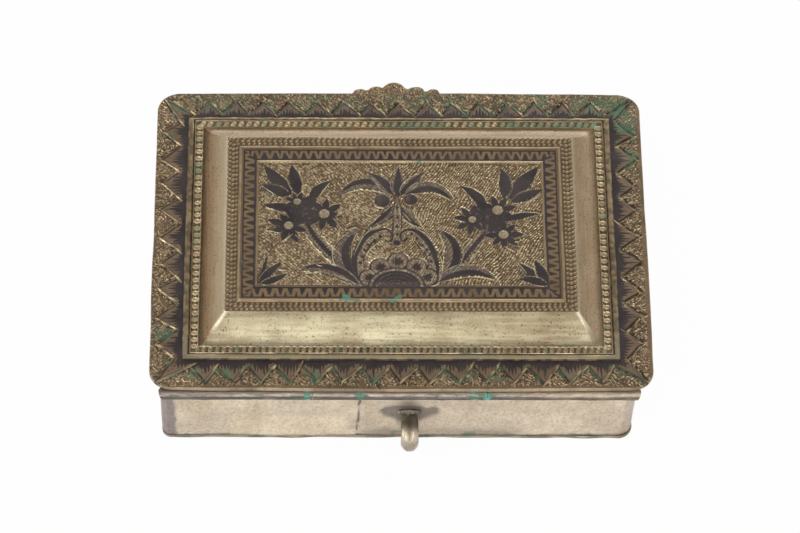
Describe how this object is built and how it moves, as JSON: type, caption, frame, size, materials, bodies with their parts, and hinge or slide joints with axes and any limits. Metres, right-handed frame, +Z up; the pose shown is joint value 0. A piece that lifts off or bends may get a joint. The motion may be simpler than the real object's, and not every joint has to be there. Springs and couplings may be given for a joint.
{
  "type": "tobacco box",
  "caption": "Small rectangular hinged metal box with a raised, dark-inlaid lid, a scalloped thumb-piece and a strap loop on its hinge side.",
  "frame": {"origin": "centre of the flat face that the box rests on", "axes": "+Z up, +X along the long side, -Y towards the hinge and hanging loop, +Y towards the thumb-piece"},
  "size_m": [0.0948, 0.077, 0.0247],
  "materials": {
    "silvered_brass": "satin",
    "loop_strap": "polished",
    "niello": "satin",
    "iron_pin": "matte"
  },
  "bodies": {
    "box": {"bottom_plate": "silvered_brass", "wall_band": "silvered_brass", "hinge_knuckle_left": "silvered_brass", "hinge_knuckle_right": "silvered_brass", "hinge_pin": "iron_pin", "hanging_loop": "loop_strap"},
    "lid": {"bead_wire_frame": "silvered_brass", "fillet_frame": "silvered_brass", "hinge_knuckle_middle": "silvered_brass", "inner_frame_line": "silvered_brass", "lid_bezel": "silvered_brass", "lid_plate": "silvered_brass", "milled_wire_frame": "silvered_brass", "niello_border_inner": "niello", "niello_border_outer": "niello", "niello_bouquet_left": "niello", "niello_bouquet_right": "niello", "niello_fruit_left": "niello", "niello_fruit_right": "niello", "niello_palm": "niello", "niello_rim": "niello", "niello_rosette": "niello", "niello_spray_left": "niello", "niello_spray_right": "niello", "niello_sprig_left": "niello", "niello_sprig_right": "niello", "thumb_piece": "silvered_brass"}
  },
  "joints": [
    {"name": "lid_hinge", "type": "hinge", "parent": "box", "child": "lid", "pos_m": [0, -0.0343, 0.0175], "axis": [1, 0, 0], "range_deg": [0, 180]}
  ]
}
